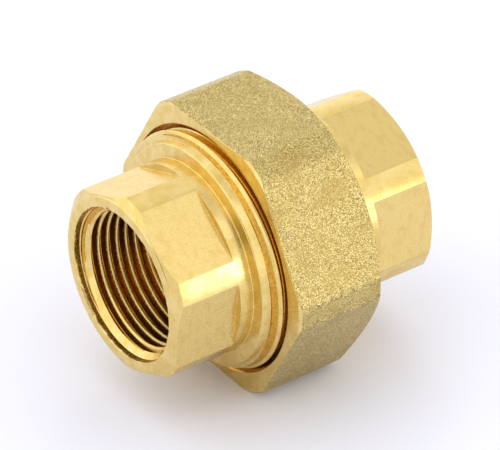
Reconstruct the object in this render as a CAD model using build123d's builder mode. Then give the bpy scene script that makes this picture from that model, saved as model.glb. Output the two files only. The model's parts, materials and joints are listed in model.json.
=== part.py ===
from build123d import *
from build123d.topology.shape_core import SkipClean
from math import cos, radians, sin, tan
import os

# Brass pipe union with a G 3/4 inside thread at each end, made of four pieces on one axis. +X runs along
# the pipe from the threaded half's mouth to the tailpiece's mouth, and +Z is up, with the nut lying on one
# of its flats. The origin is on the axis, midway between the two mouths. Lengths are in millimetres and
# angles in degrees. Places along the pipe are distances from the threaded half's mouth, which at() turns
# into X.

# ---------------------------------------------------------------- driving dimensions
LENGTH = 52.0  # mouth to mouth, with the nut made up

# Pipe thread in each hub: ISO 228 G 3/4, 14 threads per inch
PIPE_PITCH = 25.4 / 14
PIPE_MAJOR_R = 26.441 / 2
PIPE_MINOR_R = 24.117 / 2
PIPE_THREAD_LENGTH = 14.0  # from the mouth to the relief groove
PIPE_TURNS = 10  # turns that the cutter makes, from the open air to the relief groove
PIPE_GROOVE_NEAR = 1.813  # a groove's distance from the near mouth, on the +Z side
PIPE_GROOVE_FAR = 36.0  # a groove of the tailpiece's thread, on the +Z side

# Union thread between the threaded half and the nut: ISO 228 G 1-1/4, 11 threads per inch
UNION_PITCH = 25.4 / 11
UNION_MAJOR_R = 41.910 / 2
UNION_MINOR_R = 38.952 / 2
UNION_RIDGE = 16.73  # a ridge of the outside thread, on the +Z side
OUTSIDE_CUT_START = 13.0  # over the collar
OUTSIDE_TURNS = 7
NUT_TURNS = 6
NUT_RADIAL_CLEARANCE = 0.12
NUT_FLANK_CLEARANCE = 0.04

# Both threads: 55 degree flanks, and flats of a sixth of the pitch on crests and roots
FLANK_SLOPE = tan(radians(55 / 2))
FLAT_SHARE = 1 / 6
CUTTER_OVERRUN = 0.2  # how far a thread cutter stands out of the crests
RELIEF_STEP = 0.25  # how much deeper than its thread a relief groove is
LAND_SECTORS = 8  # faces in one turn of a pipe thread's crest
LAND_START = 13.0  # where the first of them starts, about +X from +Z

# Hubs: turned cylinders with six wrench flats
HUB_R = 16.84
HUB_ACROSS_FLATS = 31.0
FLATS_LENGTH_NEAR = 11.9
FLATS_LENGTH_FAR = 11.8
FLATS_ROLL_NEAR = -22.0  # turn of the flats about +X
FLATS_ROLL_FAR = 24.0
HUB_FACE_R = 15.15  # outer edge of the end face
HUB_CHAMFER = 1.0  # axial length of the turned chamfer round the mouth
RECESS_R = 13.35  # plain counterbore in each mouth
RECESS_DEPTH = 1.05
COUNTERSINK_END = 2.4  # where the cone between counterbore and thread meets the thread's crests
EDGE_BREAK = 0.3

# Waterway and conical seat
WATERWAY_R = 11.0
RELIEF_LENGTH = 2.0
SEAT_R = 16.0  # the seat cone's open end
SEAT_ANGLE = 30.0  # between the cone's wall and the axis
SEAT_GAP = 0.05  # between the nose and the seat

# Threaded half
COLLAR_END = 14.45
SHOULDER_R = 19.30
NECK_R = 19.45  # plain neck between the shoulder and the thread
THREAD_START = 15.95
THREADED_HALF_END = 27.0
THREAD_CHAMFER = 0.9

# Tailpiece
NOSE_TIP = 21.5
FLANGE_FRONT = 27.3
FLANGE_BACK = 31.45
FLANGE_R = 19.2
SEAL_GROOVE = 24.3  # the middle of the seal's groove
SEAL_GROOVE_WIDTH = 2.3
SEAL_GROOVE_R = 12.4
SEAL_CLEARANCE = 0.02

# Union nut
NUT_NEAR = 17.7
NUT_FAR = 36.0
NUT_ACROSS_FLATS = 46.0
NUT_CORNER_FILLET = 5.0
NUT_TURNED_R = 25.45  # the corners are turned down to this
NUT_NEAR_FACE_R = 24.7
NUT_FAR_FACE_R = 21.5
NUT_CHAMFER_ANGLE = 30.0  # between each turned chamfer and its end face
NUT_MOUTH_R = 21.75
NUT_COUNTERSINK = 1.5
NUT_THREAD_END = 28.4
NUT_SHOULDER = 31.5  # the inner face that bears on the flange
NUT_BORE_R = 17.15


# ---------------------------------------------------------------- what the pieces share
def at(distance):
    """X of a place given as its distance from the threaded half's mouth."""
    return distance - LENGTH / 2


def axial_plane(turn):
    """The plane through the axis at an angle from +Z: its x runs along the pipe and its y outward."""
    outward = Vector(0, -sin(radians(turn)), cos(radians(turn)))
    return Plane(origin=(0, 0, 0), x_dir=(1, 0, 0), z_dir=Vector(1, 0, 0).cross(outward))


def turn_outline(points, mode=Mode.ADD, start=0.0, arc=360.0):
    """Revolve an outline of (distance, radius) points about the axis, in the part being built."""
    with BuildSketch(axial_plane(start)) as outline:
        with BuildLine():
            Polyline(*[(at(x), r) for x, r in points], close=True)
        make_face()
    revolve(outline.sketch, axis=Axis.X, revolution_arc=arc, mode=mode)


def cut_flats(first, last, roll):
    """Mill the six wrench flats of a hub."""
    with BuildSketch(Plane.YZ.offset(at(first))) as waste:
        Circle(HUB_R + 1)
        RegularPolygon(HUB_ACROSS_FLATS / 2, 6, major_radius=False, rotation=roll, mode=Mode.SUBTRACT)
    extrude(waste.sketch, amount=last - first, mode=Mode.SUBTRACT)


def cut_pipe_bore(mouth, inward):
    """Counterbore, countersink, bore and relief of a pipe thread. inward is 1 for +X and -1 for -X."""
    relief_start = PIPE_THREAD_LENGTH
    relief_end = relief_start + RELIEF_LENGTH
    relief_r = PIPE_MAJOR_R + RELIEF_STEP
    pilot = [
        (-1, 0),
        (-1, RECESS_R),
        (RECESS_DEPTH, RECESS_R),
        (COUNTERSINK_END, PIPE_MINOR_R),
        (COUNTERSINK_END, WATERWAY_R),
        (relief_start, WATERWAY_R),
        (relief_start, relief_r),
        (relief_end, relief_r),
        (relief_end, 0),
    ]
    turn_outline([(mouth + inward * x, r) for x, r in pilot], Mode.SUBTRACT)
    land = [
        (RECESS_DEPTH, WATERWAY_R / 2),
        (RECESS_DEPTH, PIPE_MINOR_R),
        (relief_start + RELIEF_LENGTH / 2, PIPE_MINOR_R),
        (relief_start + RELIEF_LENGTH / 2, WATERWAY_R / 2),
    ]
    arc = 360 / LAND_SECTORS
    for sector in range(LAND_SECTORS):
        outline = [(mouth + inward * x, r) for x, r in land]
        turn_outline(outline, Mode.SUBTRACT, LAND_START + sector * arc, arc)


def make_turn_cutter(pitch, tip_r, crest_r, tip_width):
    """One right-hand turn of a thread groove, which starts at the origin on the +Z side."""
    outside = crest_r > tip_r
    back_r = crest_r + CUTTER_OVERRUN if outside else crest_r - CUTTER_OVERRUN
    half_tip = tip_width / 2
    half_back = half_tip + abs(back_r - tip_r) * FLANK_SLOPE
    corners = [(-half_tip, tip_r), (half_tip, tip_r), (half_back, back_r), (-half_back, back_r)]
    with BuildPart() as cutter:
        with BuildLine() as path:
            Helix(pitch, pitch, tip_r, (0, 0, 0), (1, 0, 0))
        with BuildSketch(axial_plane(0)):
            with BuildLine():
                Polyline(*corners, close=True)
            make_face()
        sweep(path=path.line, is_frenet=True)
    return cutter.part


def cut_thread(cutter, pitch, groove, first, turns):
    """Cut a thread turn by turn from a distance on. groove is where a groove crosses the +Z side."""
    start_turn = 360 * (first - groove) / pitch
    for turn in range(turns):
        with Locations((at(first) + turn * pitch, 0, 0)):
            add(cutter, rotation=(start_turn, 0, 0), mode=Mode.SUBTRACT)


def seat_radius(distance):
    """The seat cone's radius."""
    return SEAT_R + (distance - THREADED_HALF_END) * tan(radians(SEAT_ANGLE))


def nose_radius(distance):
    """The nose cone's radius, which lies inside the seat by the seat gap."""
    return seat_radius(distance) - SEAT_GAP / cos(radians(SEAT_ANGLE))


union_flat = UNION_PITCH * FLAT_SHARE
relief_middle = PIPE_THREAD_LENGTH + RELIEF_LENGTH / 2
pipe_cut_length = PIPE_TURNS * PIPE_PITCH
pipe_cutter = make_turn_cutter(PIPE_PITCH, PIPE_MAJOR_R, PIPE_MINOR_R, PIPE_PITCH * FLAT_SHARE)

# ---------------------------------------------------------------- threaded half
outside_cutter = make_turn_cutter(UNION_PITCH, UNION_MINOR_R, UNION_MAJOR_R, union_flat)
outside_groove = UNION_RIDGE + UNION_PITCH / 2
seat_start = THREADED_HALF_END - (SEAT_R - WATERWAY_R) / tan(radians(SEAT_ANGLE))

with BuildPart() as threaded_half:
    turn_outline(
        [
            (0, 0),
            (0, HUB_FACE_R),
            (HUB_CHAMFER, HUB_R),
            (COLLAR_END, HUB_R),
            (COLLAR_END, SHOULDER_R - EDGE_BREAK),
            (COLLAR_END + EDGE_BREAK, SHOULDER_R),
            (THREAD_START, NECK_R),
            (THREAD_START, UNION_MAJOR_R - EDGE_BREAK),
            (THREAD_START + EDGE_BREAK, UNION_MAJOR_R),
            (THREADED_HALF_END - THREAD_CHAMFER, UNION_MAJOR_R),
            (THREADED_HALF_END, UNION_MAJOR_R - THREAD_CHAMFER),
            (THREADED_HALF_END, 0),
        ]
    )
    cut_flats(0, FLATS_LENGTH_NEAR, FLATS_ROLL_NEAR)
    cut_thread(outside_cutter, UNION_PITCH, outside_groove, OUTSIDE_CUT_START, OUTSIDE_TURNS)
    turn_outline(
        [
            (PIPE_THREAD_LENGTH, 0),
            (PIPE_THREAD_LENGTH, WATERWAY_R),
            (seat_start, WATERWAY_R),
            (THREADED_HALF_END + 1, seat_radius(THREADED_HALF_END + 1)),
            (THREADED_HALF_END + 1, 0),
        ],
        Mode.SUBTRACT,
    )
    # The faces of the crest's land stay apart, so that each is a short stretch of one turn.
    with SkipClean():
        cut_pipe_bore(0, 1)
        cut_thread(pipe_cutter, PIPE_PITCH, PIPE_GROOVE_NEAR, relief_middle - pipe_cut_length, PIPE_TURNS)

# ---------------------------------------------------------------- tailpiece
groove_start = SEAL_GROOVE - SEAL_GROOVE_WIDTH / 2
groove_end = SEAL_GROOVE + SEAL_GROOVE_WIDTH / 2

with BuildPart() as tailpiece:
    turn_outline(
        [
            (NOSE_TIP, 0),
            (NOSE_TIP, nose_radius(NOSE_TIP) - EDGE_BREAK),
            (NOSE_TIP + EDGE_BREAK, nose_radius(NOSE_TIP + EDGE_BREAK)),
            (groove_start, nose_radius(groove_start)),
            (groove_start, SEAL_GROOVE_R),
            (groove_end, SEAL_GROOVE_R),
            (groove_end, nose_radius(groove_end)),
            (FLANGE_FRONT, nose_radius(FLANGE_FRONT)),
            (FLANGE_FRONT, FLANGE_R - EDGE_BREAK),
            (FLANGE_FRONT + EDGE_BREAK, FLANGE_R),
            (FLANGE_BACK - EDGE_BREAK, FLANGE_R),
            (FLANGE_BACK, FLANGE_R - EDGE_BREAK),
            (FLANGE_BACK, HUB_R),
            (LENGTH - HUB_CHAMFER, HUB_R),
            (LENGTH, HUB_FACE_R),
            (LENGTH, 0),
        ]
    )
    cut_flats(LENGTH - FLATS_LENGTH_FAR, LENGTH, FLATS_ROLL_FAR)
    turn_outline(
        [
            (NOSE_TIP - 1, 0),
            (NOSE_TIP - 1, WATERWAY_R),
            (LENGTH - PIPE_THREAD_LENGTH, WATERWAY_R),
            (LENGTH - PIPE_THREAD_LENGTH, 0),
        ],
        Mode.SUBTRACT,
    )
    with SkipClean():
        cut_pipe_bore(LENGTH, -1)
        cut_thread(pipe_cutter, PIPE_PITCH, PIPE_GROOVE_FAR, LENGTH - relief_middle, PIPE_TURNS)

# ---------------------------------------------------------------- seal ring
# The ring touches the groove's floor and the seat, less a small clearance.
seat_cosine = cos(radians(SEAT_ANGLE))
seal_reach = (seat_radius(SEAL_GROOVE) - SEAL_GROOVE_R) * seat_cosine / (1 + seat_cosine)

with BuildPart() as seal_ring:
    with BuildSketch(axial_plane(0)):
        with Locations((at(SEAL_GROOVE), SEAL_GROOVE_R + seal_reach)):
            Circle(seal_reach - SEAL_CLEARANCE)
    revolve(axis=Axis.X)

# ---------------------------------------------------------------- union nut
nut_thread_r = UNION_MINOR_R + NUT_RADIAL_CLEARANCE
nut_tip_r = UNION_MAJOR_R + NUT_RADIAL_CLEARANCE
nut_tip_width = union_flat + 2 * NUT_FLANK_CLEARANCE
nut_cutter = make_turn_cutter(UNION_PITCH, nut_tip_r, nut_thread_r, nut_tip_width)
nut_cut_end = (NUT_THREAD_END + NUT_SHOULDER) / 2
nut_relief_r = nut_tip_r + RELIEF_STEP
countersink_slope = (NUT_MOUTH_R - nut_thread_r) / NUT_COUNTERSINK
chamfer_slope = tan(radians(NUT_CHAMFER_ANGLE))

with BuildPart() as union_nut:
    turn_outline(
        [
            (NUT_NEAR, 0),
            (NUT_NEAR, NUT_NEAR_FACE_R),
            (NUT_NEAR + (NUT_TURNED_R - NUT_NEAR_FACE_R) * chamfer_slope, NUT_TURNED_R),
            (NUT_FAR - (NUT_TURNED_R - NUT_FAR_FACE_R) * chamfer_slope, NUT_TURNED_R),
            (NUT_FAR, NUT_FAR_FACE_R),
            (NUT_FAR, 0),
        ]
    )
    with BuildSketch(Plane.YZ.offset(at(NUT_NEAR))) as hexagon:
        RegularPolygon(NUT_ACROSS_FLATS / 2, 6, major_radius=False)
        fillet(hexagon.vertices(), NUT_CORNER_FILLET)
    extrude(amount=NUT_FAR - NUT_NEAR, mode=Mode.INTERSECT)
    turn_outline(
        [
            (NUT_NEAR - 1, 0),
            (NUT_NEAR - 1, NUT_MOUTH_R + countersink_slope),
            (NUT_NEAR + NUT_COUNTERSINK, nut_thread_r),
            (NUT_THREAD_END, nut_thread_r),
            (NUT_THREAD_END, nut_relief_r),
            (NUT_SHOULDER, nut_relief_r),
            (NUT_SHOULDER, NUT_BORE_R),
            (NUT_FAR - EDGE_BREAK, NUT_BORE_R),
            (NUT_FAR + EDGE_BREAK, NUT_BORE_R + 2 * EDGE_BREAK),
            (NUT_FAR + EDGE_BREAK, 0),
        ],
        Mode.SUBTRACT,
    )
    cut_thread(nut_cutter, UNION_PITCH, UNION_RIDGE, nut_cut_end - NUT_TURNS * UNION_PITCH, NUT_TURNS)

# ---------------------------------------------------------------- one file for each piece
os.makedirs("parts", exist_ok=True)

threaded_half.part.label = "threaded_half"
export_step(threaded_half.part, "parts/threaded_half.step")

tailpiece.part.label = "tailpiece"
export_step(tailpiece.part, "parts/tailpiece.step")

seal_ring.part.label = "seal_ring"
export_step(seal_ring.part, "parts/seal_ring.step")

union_nut.part.label = "union_nut"
export_step(union_nut.part, "parts/union_nut.step")
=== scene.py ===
"""Looks of the brass pipe union. The shape code works in millimetres, and meshes are stored in metres."""

import json
import math

import bmesh
import bpy
import numpy as np
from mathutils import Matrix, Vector, noise


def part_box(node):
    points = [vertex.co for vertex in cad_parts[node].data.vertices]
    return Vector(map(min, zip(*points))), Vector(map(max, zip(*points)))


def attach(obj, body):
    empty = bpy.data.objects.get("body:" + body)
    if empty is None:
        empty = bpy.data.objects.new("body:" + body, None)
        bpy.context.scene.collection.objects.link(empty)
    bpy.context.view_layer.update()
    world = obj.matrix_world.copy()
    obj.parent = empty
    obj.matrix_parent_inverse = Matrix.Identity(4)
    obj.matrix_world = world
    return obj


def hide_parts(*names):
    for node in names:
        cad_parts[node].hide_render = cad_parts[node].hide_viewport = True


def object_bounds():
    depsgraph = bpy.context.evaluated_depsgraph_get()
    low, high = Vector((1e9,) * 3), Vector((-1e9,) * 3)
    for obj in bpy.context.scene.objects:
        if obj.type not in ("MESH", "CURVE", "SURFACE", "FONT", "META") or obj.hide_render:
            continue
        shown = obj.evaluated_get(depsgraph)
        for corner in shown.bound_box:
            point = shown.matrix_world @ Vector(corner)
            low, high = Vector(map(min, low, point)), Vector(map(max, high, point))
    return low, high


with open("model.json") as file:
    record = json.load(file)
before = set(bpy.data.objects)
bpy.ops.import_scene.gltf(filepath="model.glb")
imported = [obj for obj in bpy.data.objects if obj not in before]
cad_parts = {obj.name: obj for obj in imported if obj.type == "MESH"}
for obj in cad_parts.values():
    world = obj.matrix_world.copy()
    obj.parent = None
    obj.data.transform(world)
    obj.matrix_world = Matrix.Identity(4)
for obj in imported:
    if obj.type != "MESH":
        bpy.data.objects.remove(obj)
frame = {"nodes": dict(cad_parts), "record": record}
cad_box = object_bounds()
MM = 0.001
TURN = 2 * math.pi

# ---------------------------------------------------------------- places and sizes, from the frame
half_low, half_high = [[c / MM for c in corner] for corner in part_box("threaded_half")]
tail_low, tail_high = [[c / MM for c in corner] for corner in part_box("tailpiece")]
nut_low, nut_high = [[c / MM for c in corner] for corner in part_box("union_nut")]
mounts = {mount["name"]: mount for mount in frame["record"]["mounts"]}

NEAR = half_low[0]  # X of the threaded half's mouth
FAR = tail_high[0]  # X of the tailpiece's mouth
HALF_END = half_high[0]
NOSE_TIP = tail_low[0]
FLANGE_R = tail_high[2]
UNION_MAJOR_R = half_high[2]
NUT_NEAR = nut_low[0]
NUT_FAR = nut_high[0]
NUT_APOTHEM = nut_high[2]
NUT_TURNED_R = nut_high[1]
PIPE_MINOR_R = mounts["pipe_thread_near"]["dims"]["r_mm"]

# Threads: ISO 228 form with 55 degree flanks and rounded crests and roots, right-hand
PIPE_PITCH = 25.4 / 14
UNION_PITCH = 25.4 / 11
DEPTH_SHARE = 0.640327  # thread depth over pitch
ROUND_SHARE = 0.137329  # crest and root radius over pitch
WORN_CREST_SHARE = 0.09  # crest radius of the pipe threads, which are cut deep
HALF_ANGLE = math.radians(27.5)
PIPE_MAJOR_R = PIPE_MINOR_R + DEPTH_SHARE * PIPE_PITCH
UNION_MINOR_R = UNION_MAJOR_R - DEPTH_SHARE * UNION_PITCH
NUT_CLEARANCE = 0.12
NEAR_PIPE_GROOVE = NEAR + 1.813  # where a groove crosses the +Z side
FAR_PIPE_GROOVE = NEAR + 36.0
UNION_RIDGE = NEAR + 16.73

# Hubs
HUB_R = 16.84
HUB_APOTHEM = 15.5
NEAR_FLATS_LENGTH = 11.9
FAR_FLATS_LENGTH = 11.8
NEAR_ROLL = math.radians(-22)
FAR_ROLL = math.radians(24)
FACE_R = 15.15
FACE_STEP = 0.12  # small step between the end face and the chamfer, and its depth
FACE_STEP_DEPTH = 0.2
CHAMFER_SLOPE = 1.0 / (HUB_R - FACE_R)
RECESS_R = 13.35
RECESS_DEPTH = 1.05
COUNTERSINK_END = 2.4
MOUTH_RIM = ((0.5, 0.04, 0.1), (0.15, 0.08, 0.5), (0, 0.15, 1))  # depth, flare and share of the burr
WATERWAY_R = 11.0
THREAD_LENGTH = 14.0
RELIEF_LENGTH = 2.0
RELIEF_STEP = 0.25  # how much deeper than its thread a relief groove is

# Conical seat in the threaded half, and the gap between it and the tailpiece's nose
SEAT_R = 16.0
SEAT_SLOPE = math.tan(math.radians(30))
SEAT_GAP = 0.05

# The forging's skin: sizes of its waves and of its grain, and how deep each goes
SKIN_R = 25.0
WAVE_SIZE = 6.0
WAVE_DEPTH = 0.06
GRAIN_SIZE = 0.6
GRAIN_DEPTH = 0.015

# Meshes
EDGE_STEPS = 4  # faces round each softened edge of a section
EDGE_LIMIT = 0.45  # share of a face that one softened edge can take
EDGE_SPREAD = math.radians(0.25)  # between the columns beside a flat's edge
HUB_BLEND = 0.03  # softening where a flat meets the turned surface
NUT_BLEND = 0.12
SHARP_ANGLE = math.radians(34)
WELD = 2e-7  # metres
TURNED, MILLED, THREAD, BLASTED = range(4)


# ---------------------------------------------------------------- mesh code
def columns(count, edges=(), spread=0.0):
    """Angles about +X from +Z, over one turn, with more of them beside the given edges."""
    angles = set(np.round(np.linspace(0, TURN, count + 1), 9))
    for edge in edges:
        for step in (-1, -0.5, 0, 0.5, 1):
            angles.add(round((edge + step * spread) % TURN, 9))
    return np.array(sorted(angles))


def soft_min(a, b, width):
    """The smaller of two lengths, blended over a width where they are close."""
    blend = np.maximum(width - np.abs(a - b), 0) / width
    return np.minimum(a, b) - blend**2 * width / 4


def from_flat(angles, roll):
    """Angle from the middle of the nearest of six flats."""
    return (angles - roll + math.pi / 6) % (math.pi / 3) - math.pi / 6


def hub_radius(angles, roll):
    """A turned cylinder with six flats."""
    return soft_min(HUB_R, HUB_APOTHEM / np.cos(from_flat(angles, roll)), HUB_BLEND)


def hub_edges(roll):
    """Angles where the flats meet the turned surface."""
    half = math.acos(HUB_APOTHEM / HUB_R)
    return [roll + k * math.pi / 3 + side * half for k in range(6) for side in (-1, 1)]


def hub_finish(angles, roll):
    """Milled on the flats and turned between them, one value for each column."""
    middles = np.append((angles[1:] + angles[:-1]) / 2, 0)
    on_flat = np.abs(from_flat(middles, roll)) < math.acos(HUB_APOTHEM / HUB_R)
    return np.where(on_flat, MILLED, TURNED)


def nut_radius(angles):
    """A hexagon with rounded corners, which are turned down a little."""
    fillet = 5.0
    away = np.abs(from_flat(angles, 0.0))
    half_flat = (NUT_APOTHEM - fillet) * math.tan(math.pi / 6)
    flat = NUT_APOTHEM / np.cos(away)
    centre = (NUT_APOTHEM - fillet) / math.cos(math.pi / 6)
    off = math.pi / 6 - away
    corner = centre * np.cos(off) + np.sqrt(np.maximum(fillet**2 - (centre * np.sin(off)) ** 2, 0))
    rounded = np.where(flat * np.sin(away) < half_flat, flat, corner)
    return soft_min(NUT_TURNED_R, rounded, NUT_BLEND)


def ridge_height(x, groove, pitch, crest_share):
    """Height of a thread's surface above its root. groove is where the middle of a groove lies."""
    away = np.abs((x - groove + pitch / 2) % pitch - pitch / 2)
    depth = DEPTH_SHARE * pitch
    flank = depth / 2 + (away - pitch / 4) / math.tan(HALF_ANGLE)
    root_r = ROUND_SHARE * pitch
    root = root_r - np.sqrt(np.maximum(root_r**2 - away**2, 0))
    crest_r = crest_share * pitch
    crest_centre = depth / 2 + pitch / 4 / math.tan(HALF_ANGLE) - crest_r / math.sin(HALF_ANGLE)
    crest = crest_centre + np.sqrt(np.maximum(crest_r**2 - (pitch / 2 - away) ** 2, 0))
    on_root = away < root_r * math.cos(HALF_ANGLE)
    on_crest = pitch / 2 - away < crest_r * math.cos(HALF_ANGLE)
    return np.where(on_root, root, np.where(on_crest, crest, flank))


def thread_rows(angles, groove, pitch, first, last, radius, crest_share=ROUND_SHARE, bright=0.95):
    """Corners of a thread's section from first to last, along +X or -X, in rows that follow the helix.

    radius turns a distance along the axis and a ridge height into the surface's radius, and tells where
    that surface is a turned cone that has cut the ridge away. A ridge keeps the turned finish above a share
    of its height; below that the thread finish paints shade into the groove.
    """
    arc = pitch * np.sin(np.radians(np.linspace(-62.5, 62.5, 6)))
    root, crest = ROUND_SHARE * arc, pitch / 2 + crest_share * arc
    flank = np.linspace(root[-1], crest[0], 4)[1:-1]
    steps = np.concatenate([root, flank, crest, pitch - flank])
    low, high = min(first, last), max(first, last)
    starts = np.arange(math.floor((low - groove) / pitch) - 2, math.ceil((high - groove) / pitch) + 2)
    offsets = np.sort((starts[:, None] * pitch + steps[None, :]).ravel())
    if first > last:
        offsets = offsets[::-1]
    helix = groove + pitch * angles / TURN
    rows = []
    for offset in offsets:
        x = np.clip(helix + offset, low, high)
        if np.ptp(x) == 0 and rows and np.array_equal(x, rows[-1][0]):
            continue
        height = ridge_height(x, helix, pitch, crest_share)
        r, turned = radius(x, height)
        # Painted shade: flanks and root below this height get the darker thread finish, and the crest keeps
        # the plain turned brass
        above_painted_shade = height > bright * DEPTH_SHARE * pitch
        rows.append((x, r, 0, np.where(turned | above_painted_shade, TURNED, THREAD)))
    return rows


def along(start, end, divisions, finish):
    """Corners between two others, which divide a long face."""
    shares = np.linspace(0, 1, divisions + 1)[1:-1]
    return [
        (start[0] + (end[0] - start[0]) * s, start[1] + (end[1] - start[1]) * s, 0, finish)
        for s in shares
    ]


def section(corners, count):
    """Rows of a closed section from its corners (x, radius, reach, finish), each rounded over its reach."""
    places = np.array(
        [[np.broadcast_to(c[0], count), np.broadcast_to(c[1], count)] for c in corners], float
    )
    rows, finishes = [], []
    for index, (_, _, reach, finish) in enumerate(corners):
        here = places[index]
        if reach == 0:
            rows.append(here)
            finishes.append(np.broadcast_to(finish, count))
            continue
        back = places[index - 1] - here
        ahead = places[(index + 1) % len(corners)] - here
        back_length = np.hypot(*back) + 1e-9
        ahead_length = np.hypot(*ahead) + 1e-9
        start = here + back * np.minimum(reach / back_length, EDGE_LIMIT)
        end = here + ahead * np.minimum(reach / ahead_length, EDGE_LIMIT)
        for t in np.linspace(0, 1, EDGE_STEPS + 1):
            rows.append((1 - t) ** 2 * start + 2 * t * (1 - t) * here + t**2 * end)
            finishes.append(np.broadcast_to(finish, count))
    rows = np.array(rows)
    return rows[:, 0], rows[:, 1], np.array(finishes, int)


def build(name, angles, rows, node, materials):
    """A closed ring of quads from its rows of places, welded where the last column meets the first."""
    xs, rs, finishes = rows
    total, count = xs.shape
    places = np.stack([xs, -rs * np.sin(angles), rs * np.cos(angles)], axis=-1) * MM
    row = np.arange(total)[:, None] * count
    column = np.arange(count - 1)[None, :]
    following = np.roll(row, -1, axis=0)
    quads = [row + column, following + column, following + column + 1, row + column + 1]
    mesh = bpy.data.meshes.new(name)
    mesh.from_pydata(places.reshape(-1, 3), [], np.stack(quads, axis=-1).reshape(-1, 4).tolist())
    mesh.polygons.foreach_set("material_index", finishes[:, :-1].ravel())
    for material in materials:
        mesh.materials.append(material)
    bm = bmesh.new()
    bm.from_mesh(mesh)
    bmesh.ops.remove_doubles(bm, verts=bm.verts, dist=WELD)
    bmesh.ops.dissolve_degenerate(bm, edges=bm.edges, dist=WELD)
    bmesh.ops.recalc_face_normals(bm, faces=bm.faces)
    bm.to_mesh(mesh)
    bm.free()
    mesh.shade_smooth()
    mesh.set_sharp_from_angle(angle=SHARP_ANGLE)
    piece = bpy.data.objects.new(name, mesh)
    bpy.context.collection.objects.link(piece)
    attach(piece, node)
    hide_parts(node)
    return piece


def ragged(angles, size, amount, seed):
    """A small uneven change of radius round a turn, as a cutting tool leaves along an edge."""
    waves = [
        noise.noise(Vector((math.cos(a) * RECESS_R / size, math.sin(a) * RECESS_R / size, seed)))
        for a in angles
    ]
    return amount * np.array(waves)


def nicks(angles, marks):
    """Dents (positive) and burrs (negative) in a turned edge, each with an angle, a width and a depth."""
    depth = np.zeros(len(angles))
    for place, width, size in marks:
        away = (np.degrees(angles) - place + 180) % 360 - 180
        depth += size * np.exp(-((away / width) ** 2))
    return depth


def pipe_bore(angles, mouth, inward, groove, seed, marks=()):
    """Corners of a pipe thread's bore, from the relief groove's deep end out to the mouth."""
    burr = ragged(angles, 0.9, 0.12, seed) + ragged(angles, 0.3, 0.07, seed + 7) + nicks(angles, marks)
    slope = (RECESS_R - PIPE_MINOR_R) / (COUNTERSINK_END - RECESS_DEPTH)

    def radius(x, height):
        cone = RECESS_R - ((x - mouth) * inward - RECESS_DEPTH) * slope
        thread = PIPE_MAJOR_R - height
        return np.maximum(thread, cone), thread < cone

    start = mouth + inward * THREAD_LENGTH
    relief_end = start + inward * RELIEF_LENGTH
    relief_r = PIPE_MAJOR_R + RELIEF_STEP
    step = mouth + inward * RECESS_DEPTH
    rim = [
        (mouth + inward * depth, RECESS_R + flare + share * burr, 0, TURNED)
        for depth, flare, share in MOUTH_RIM
    ]
    return [
        (relief_end, WATERWAY_R, 0.15, TURNED),
        (relief_end, relief_r, 0.15, TURNED),
        (start, relief_r, 0.15, TURNED),
        *thread_rows(angles, groove, PIPE_PITCH, start, step, radius, WORN_CREST_SHARE),
        *rim,
    ]


def hub_corners(mouth, inward, flats_length, angles, roll):
    """Corners of a hub's outside, from its end face to where its flats end."""
    radius = hub_radius(angles, roll)
    flats_end = mouth + inward * flats_length
    return [
        (mouth, FACE_R, 0.05, TURNED),
        (mouth + inward * FACE_STEP_DEPTH, FACE_R + FACE_STEP, 0.05, TURNED),
        (mouth + inward * (radius - FACE_R) * CHAMFER_SLOPE, radius, 0.1, hub_finish(angles, roll)),
        (flats_end, radius, 0.1, TURNED),
        (flats_end, HUB_R, 0.06, TURNED),
    ]


def make_threaded_half(materials):
    angles = columns(312, hub_edges(NEAR_ROLL), EDGE_SPREAD)
    mouth_marks = ((346, 1.5, 0.3), (341, 1.5, -0.15), (287.5, 0.8, -0.25))
    collar_end = NEAR + 14.45
    shoulder_r = 19.3
    neck_r = 19.45
    thread_start = NEAR + 15.95
    start_chamfer = 0.35
    end_chamfer = 0.9
    seat_start = HALF_END - (SEAT_R - WATERWAY_R) / SEAT_SLOPE

    def radius(x, height):
        start_cone = UNION_MAJOR_R - start_chamfer + (x - thread_start)
        end_cone = UNION_MAJOR_R - end_chamfer + (HALF_END - x)
        cone = np.minimum(start_cone, end_cone)
        thread = UNION_MINOR_R + height
        return np.minimum(thread, cone), thread > cone

    groove = UNION_RIDGE + UNION_PITCH / 2
    corners = [
        *pipe_bore(angles, NEAR, 1, NEAR_PIPE_GROOVE, 3.0, mouth_marks),
        *hub_corners(NEAR, 1, NEAR_FLATS_LENGTH, angles, NEAR_ROLL),
        (collar_end, HUB_R, 0.2, TURNED),
        (collar_end, shoulder_r, 0.25, TURNED),
        (thread_start, neck_r, 0.1, TURNED),
        # Below half the ridge's height the outer thread gets the thread finish's painted groove shade
        *thread_rows(angles, groove, UNION_PITCH, thread_start, HALF_END, radius, bright=0.5),
        (HALF_END, SEAT_R, 0.2, TURNED),
        (seat_start, WATERWAY_R, 0.3, TURNED),
    ]
    rows = section(corners, len(angles))
    return build("threaded_half_body", angles, rows, "threaded_half", materials)


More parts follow.
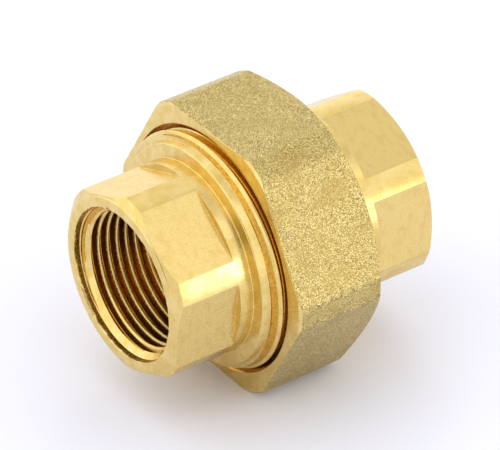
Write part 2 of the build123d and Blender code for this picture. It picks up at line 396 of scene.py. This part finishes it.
def make_tailpiece(materials):
    angles = columns(288, hub_edges(FAR_ROLL), EDGE_SPREAD)
    flange_front = NEAR + 27.3
    flange_back = NEAR + 31.45
    groove_r = 12.4  # floor of the seal's groove
    groove_start = NEAR + 23.15
    groove_end = NEAR + 25.45

    def nose(x):
        return SEAT_R + (x - HALF_END) * SEAT_SLOPE - SEAT_GAP * math.hypot(1, SEAT_SLOPE)

    corners = [
        *pipe_bore(angles, FAR, -1, FAR_PIPE_GROOVE, 11.0),
        *hub_corners(FAR, -1, FAR_FLATS_LENGTH, angles, FAR_ROLL),
        (flange_back, HUB_R, 0.2, TURNED),
        (flange_back, FLANGE_R, 0.3, TURNED),
        (flange_front, FLANGE_R, 0.3, TURNED),
        (flange_front, nose(flange_front), 0.2, TURNED),
        (groove_end, nose(groove_end), 0.1, TURNED),
        (groove_end, groove_r, 0.1, TURNED),
        (groove_start, groove_r, 0.1, TURNED),
        (groove_start, nose(groove_start), 0.1, TURNED),
        (NOSE_TIP, nose(NOSE_TIP), 0.3, TURNED),
        (NOSE_TIP, WATERWAY_R, 0.1, TURNED),
    ]
    rows = section(corners, len(angles))
    return build("tailpiece_body", angles, rows, "tailpiece", materials)


def make_union_nut(materials):
    angles = columns(432)
    outside = nut_radius(angles)
    chamfer_slope = math.tan(math.radians(30))
    turned_face_r = 24.7
    near_face_r = np.minimum(turned_face_r, outside - 0.15)
    near_edge = NUT_NEAR + np.maximum((outside - turned_face_r) * chamfer_slope, 0.1)
    far_face_r = 21.5
    far_edge = NUT_FAR - (outside - far_face_r) * chamfer_slope
    thread_end = NEAR + 28.4
    inner_shoulder = NEAR + 31.5
    thread_r = UNION_MINOR_R + NUT_CLEARANCE
    root_r = UNION_MAJOR_R + NUT_CLEARANCE
    relief_r = root_r + RELIEF_STEP
    bore_r = 17.15
    mouth_r = 21.75
    countersink_depth = 1.5
    mouth_slope = (mouth_r - thread_r) / countersink_depth
    thread_start = NUT_NEAR + 0.05  # just inside the mouth

    def radius(x, height):
        cone = mouth_r - (x - NUT_NEAR) * mouth_slope
        return np.maximum(root_r - height, cone), False

    corners = [
        (inner_shoulder, bore_r, 0.1, TURNED),
        (inner_shoulder, relief_r, 0.2, TURNED),
        (thread_end, relief_r, 0.2, TURNED),
        *thread_rows(angles, UNION_RIDGE, UNION_PITCH, thread_end, thread_start, radius),
        (NUT_NEAR, mouth_r, 0, TURNED),
        (NUT_NEAR, near_face_r, 0.12, TURNED),
        (near_edge, outside, 0.2, BLASTED),
        *along((near_edge, outside), (far_edge, outside), 60, BLASTED),
        (far_edge, outside, 0.35, BLASTED),
        *along((far_edge, outside), (NUT_FAR, far_face_r), 8, BLASTED),
        (NUT_FAR, far_face_r, 0.2, TURNED),
        (NUT_FAR, bore_r, 0.3, TURNED),
    ]
    xs, rs, finishes = section(corners, len(angles))
    roughen(xs, rs, finishes, angles)
    return build("union_nut_body", angles, (xs, rs, finishes), "union_nut", materials)


def roughen(xs, rs, finishes, angles):
    """Sink the blasted faces by the waviness of the forging and the grain of the shot."""
    blasted = finishes[:, 0] == BLASTED
    for row, column in zip(*np.nonzero(finishes[:, :-1] == BLASTED)):
        angle = angles[column]
        place = Vector((xs[row, column], math.cos(angle) * SKIN_R, math.sin(angle) * SKIN_R))
        wave = 0.5 + 0.5 * noise.noise(place / WAVE_SIZE)
        grain = 0.5 + 0.5 * noise.noise(place / GRAIN_SIZE)
        rs[row, column] -= WAVE_DEPTH * wave + GRAIN_DEPTH * grain
    rs[blasted, -1] = rs[blasted, 0]


# ---------------------------------------------------------------- materials
class Finish:
    """A node material under construction."""

    def __init__(self, name):
        self.material = bpy.data.materials.new(name)
        self.material.use_nodes = True
        self.tree = self.material.node_tree
        self.shader = self.tree.nodes["Principled BSDF"]
        self.place = self.node("ShaderNodeTexCoord", {}, "Object")

    def node(self, kind, inputs, output=0, **settings):
        """Add a node, set or link its inputs, and give one of its outputs."""
        node = self.tree.nodes.new(kind)
        for key, value in settings.items():
            setattr(node, key, value)
        for socket, value in inputs.items():
            self.put(node.inputs[socket], value)
        return node.outputs[output]

    def put(self, socket, value):
        if isinstance(value, bpy.types.NodeSocket):
            self.tree.links.new(value, socket)
        else:
            socket.default_value = value

    def surface(self, **inputs):
        for name, value in inputs.items():
            self.put(self.shader.inputs[name.replace("_", " ")], value)

    def noise(self, vector, sizes, detail=2.0, rough=0.5):
        """Noise whose features have these sizes in millimetres along each axis."""
        scales = [1 / (size * MM) for size in sizes]
        scaled = self.node("ShaderNodeVectorMath", {0: vector, 1: scales}, operation="MULTIPLY")
        inputs = {"Vector": scaled, "Scale": 1.0, "Detail": detail, "Roughness": rough}
        return self.node("ShaderNodeTexNoise", inputs, "Fac")

    def spread(self, value, low, high, to_low=0.0, to_high=1.0):
        """Map a range of a value to another, and hold it at the ends."""
        inputs = {"Value": value, "From Min": low, "From Max": high, "To Min": to_low, "To Max": to_high}
        return self.node("ShaderNodeMapRange", inputs, interpolation_type="SMOOTHSTEP")

    def mix(self, share, a, b):
        node = self.tree.nodes.new("ShaderNodeMix")
        node.data_type = "RGBA"
        for socket, value in zip((node.inputs[0], node.inputs[6], node.inputs[7]), (share, a, b)):
            self.put(socket, value)
        return node.outputs[2]

    def bump(self, height, depth, normal=None):
        """Raise the surface by a height times a depth in millimetres."""
        inputs = {"Height": height, "Distance": depth * MM, "Strength": 1.0}
        if normal:
            inputs["Normal"] = normal
        return self.node("ShaderNodeBump", inputs)

    def turned_place(self):
        """Coordinates along the axis and outward from it, so that marks run round the part."""
        across = self.node("ShaderNodeVectorMath", {0: self.place, 1: (0, 1, 1)}, operation="MULTIPLY")
        outward = self.node("ShaderNodeVectorMath", {0: across}, "Value", operation="LENGTH")
        along_axis = self.node("ShaderNodeSeparateXYZ", {"Vector": self.place}, "X")
        return self.node("ShaderNodeCombineXYZ", {"X": along_axis, "Y": outward})


# Tints of bare brass, and of the stains on it
PALE = (0.80, 0.61, 0.24, 1)
GOLD = (0.73, 0.53, 0.165, 1)
DEEP = (0.60, 0.34, 0.07, 1)


def turned_brass():
    """Lathe-cut brass: fine rings round the axis, and a tint that drifts over millimetres."""
    finish = Finish("turned_brass")
    rings = finish.noise(finish.turned_place(), (0.16, 0.16, 1), 3.0, 0.6)
    drift = finish.noise(finish.place, (3, 2, 2), 2.0)
    specks = finish.noise(finish.place, (0.25, 0.4, 0.4), 3.0, 0.7)
    tint = finish.mix(finish.spread(drift, 0.35, 0.65), PALE, GOLD)
    finish.surface(
        Base_Color=finish.mix(finish.spread(specks, 0.55, 0.8, 0.0, 0.5), tint, DEEP),
        Metallic=1.0,
        Roughness=finish.spread(specks, 0.3, 0.7, 0.17, 0.30),
        Normal=finish.bump(specks, 0.006, finish.bump(rings, 0.006)),
    )
    return finish.material


def milled_brass():
    """Flats cut by a milling cutter: short streaks across the axis and a fine mottle."""
    finish = Finish("milled_brass")
    streaks = finish.noise(finish.place, (0.12, 1.6, 1.6), 3.0, 0.6)
    mottle = finish.noise(finish.place, (0.3, 0.3, 0.3), 2.0, 0.6)
    drift = finish.noise(finish.place, (1.2, 2, 2), 4.0)
    tint = finish.mix(finish.spread(mottle, 0.3, 0.7, 0.0, 0.6), PALE, GOLD)
    finish.surface(
        Base_Color=finish.mix(finish.spread(drift, 0.45, 0.7, 0.0, 0.25), tint, DEEP),
        Metallic=1.0,
        Roughness=finish.spread(mottle, 0.3, 0.7, 0.24, 0.34),
        Normal=finish.bump(mottle, 0.006, finish.bump(streaks, 0.004)),
    )
    return finish.material


def thread_brass():
    """Thread flanks and roots: cut metal, darker and browner than turned brass as painted groove shade, with
    fine chatter along the thread.
    """
    finish = Finish("thread_brass")
    rings = finish.noise(finish.turned_place(), (0.1, 0.1, 1), 2.0, 0.6)
    chatter = finish.noise(finish.place, (0.5, 0.5, 0.5), 3.0, 0.6)
    # Both tints are painted shade of the thread grooves, varied by the chatter
    tint = finish.mix(finish.spread(chatter, 0.35, 0.7), (0.64, 0.36, 0.05, 1), (0.50, 0.24, 0.03, 1))
    finish.surface(
        Base_Color=tint,
        Metallic=1.0,
        Roughness=finish.spread(chatter, 0.3, 0.7, 0.14, 0.24),
        Normal=finish.bump(chatter, 0.01, finish.bump(rings, 0.002)),
    )
    return finish.material


def blasted_brass():
    """Shot-blasted forging: a coarse sparkling grain with darker pits."""
    finish = Finish("blasted_brass")
    grain = finish.noise(finish.place, (0.11, 0.11, 0.11), 0.0)
    pits = finish.noise(finish.place, (0.35, 0.35, 0.35), 2.0, 0.6)
    stain = finish.noise(finish.place, (5, 5, 5), 3.0)
    tint = finish.mix(finish.spread(grain, 0.35, 0.60), (0.07, 0.04, 0.01, 1), (0.89, 0.72, 0.29, 1))
    dark = finish.mix(finish.spread(pits, 0.3, 0.5), (0.40, 0.25, 0.06, 1), tint)
    finish.surface(
        Base_Color=finish.mix(finish.spread(stain, 0.45, 0.7, 0.0, 0.45), dark, (0.42, 0.29, 0.08, 1)),
        Metallic=1.0,
        Roughness=finish.spread(grain, 0.3, 0.7, 0.30, 0.44),
        Normal=finish.bump(pits, 0.02, finish.bump(grain, 0.045)),
    )
    return finish.material


def seal_rubber():
    """Moulded black rubber, with a satin skin."""
    finish = Finish("seal_rubber")
    skin = finish.noise(finish.place, (0.3, 0.3, 0.3), 3.0)
    finish.surface(
        Base_Color=finish.mix(skin, (0.012, 0.012, 0.013, 1), (0.03, 0.03, 0.032, 1)),
        Roughness=finish.spread(skin, 0.3, 0.7, 0.42, 0.58),
        Normal=finish.bump(skin, 0.01),
    )
    return finish.material


def floor_paper():
    """White paper sweep, very slightly uneven."""
    finish = Finish("floor_paper")
    tone = finish.noise(finish.place, (400, 400, 400), 1.0)
    finish.surface(
        Base_Color=finish.mix(tone, (0.82, 0.83, 0.93, 1), (0.84, 0.85, 0.95, 1)),
        Roughness=0.7,
    )
    return finish.material


brass = [turned_brass(), milled_brass(), thread_brass(), blasted_brass()]
make_threaded_half(brass)
make_tailpiece(brass)
make_union_nut(brass)
seal = frame["nodes"]["seal_ring"]
rubber = seal_rubber()
for holder in seal.material_slots:
    holder.material = rubber

# ---------------------------------------------------------------- floor, light and camera
low, high = cad_box
floor_mesh = bpy.data.meshes.new("floor")
bm = bmesh.new()
bmesh.ops.create_grid(bm, x_segments=2, y_segments=2, size=4.0)
bm.to_mesh(floor_mesh)
bm.free()
floor_mesh.materials.append(floor_paper())
floor = bpy.data.objects.new("floor", floor_mesh)
floor.location.z = low[2]
bpy.context.collection.objects.link(floor)


def softbox(name, direction, distance, width, height, power):
    """A square-edged soft light, which faces the object from a direction."""
    data = bpy.data.lights.new(name, "AREA")
    data.shape = "RECTANGLE"
    data.size = width
    data.size_y = height
    data.energy = power
    box = bpy.data.objects.new(name, data)
    place = Vector(direction).normalized() * distance
    box.location = place
    box.rotation_euler = (-place).to_track_quat("-Z", "Y").to_euler()
    bpy.context.collection.objects.link(box)
    return box


softbox("light_side", (0.48, -0.87, 0.14), 0.8, 0.20, 0.28, 0.58)
backdrop = softbox("light_backdrop", (0.38, 0.52, 0.58), 0.4, 0.1, 0.1, 0.11)
backdrop.visible_glossy = False

world = bpy.data.worlds.new("studio")
bpy.context.scene.world = world
world.use_nodes = True
tent = world.node_tree.nodes


def tent_share(direction, start, end):
    """How far a direction of view is within a cone about another, from 0 at its edge to 1."""
    view = tent.new("ShaderNodeTexCoord")
    dot = tent.new("ShaderNodeVectorMath")
    dot.operation = "DOT_PRODUCT"
    dot.inputs[1].default_value = Vector(direction).normalized()
    share = tent.new("ShaderNodeMapRange")
    share.interpolation_type = "SMOOTHSTEP"
    share.inputs["From Min"].default_value = math.cos(math.radians(start))
    share.inputs["From Max"].default_value = math.cos(math.radians(end))
    world.node_tree.links.new(view.outputs["Generated"], dot.inputs[0])
    world.node_tree.links.new(dot.outputs["Value"], share.inputs["Value"])
    return share.outputs["Result"]


def tent_patch(under, direction, start, end, tone):
    """Paint a soft-edged patch of the tent's cloth, lighter or darker than what is under it."""
    patch = tent.new("ShaderNodeMix")
    patch.data_type = "RGBA"
    patch.inputs[7].default_value = (tone, tone, tone, 1)
    world.node_tree.links.new(tent_share(direction, start, end), patch.inputs[0])
    if isinstance(under, float):
        patch.inputs[6].default_value = (under, under, under, 1)
    else:
        world.node_tree.links.new(under, patch.inputs[6])
    return patch.outputs[2]


# Each patch has a direction, the angles in degrees where it starts and is full, and a tone
CLOTH_TONE = 1.42
cloth = tent_patch(CLOTH_TONE, (0.45, 0.0, 0.89), 30, 10, 0.90)
cloth = tent_patch(cloth, (0.48, 0.62, 0.62), 25, 10, 1.1)
cloth = tent_patch(cloth, (0.48, -0.83, 0.32), 32, 12, 1.15)
cloth = tent_patch(cloth, (-0.48, -0.67, 0.57), 32, 12, 0.4)
world.node_tree.links.new(cloth, tent["Background"].inputs["Color"])

CAMERA_AZIMUTH = -35.97
CAMERA_ELEVATION = 34.59
CAMERA_DISTANCE = 0.912
azimuth, elevation = math.radians(CAMERA_AZIMUTH), math.radians(CAMERA_ELEVATION)
toward = Vector(
    (math.sin(azimuth) * math.cos(elevation), -math.cos(azimuth) * math.cos(elevation), math.sin(elevation))
)
aim = Vector((NEAR + 19.9, -8.3, 8.4)) * MM
camera_data = bpy.data.cameras.new("camera")
camera_data.lens = 404.7
camera_data.clip_start = 0.01
camera = bpy.data.objects.new("camera", camera_data)
camera.location = aim + toward * CAMERA_DISTANCE
camera.rotation_euler = (-toward).to_track_quat("-Z", "Y").to_euler()
bpy.context.collection.objects.link(camera)
bpy.context.scene.camera = camera
bpy.context.scene.view_settings.view_transform = "Standard"
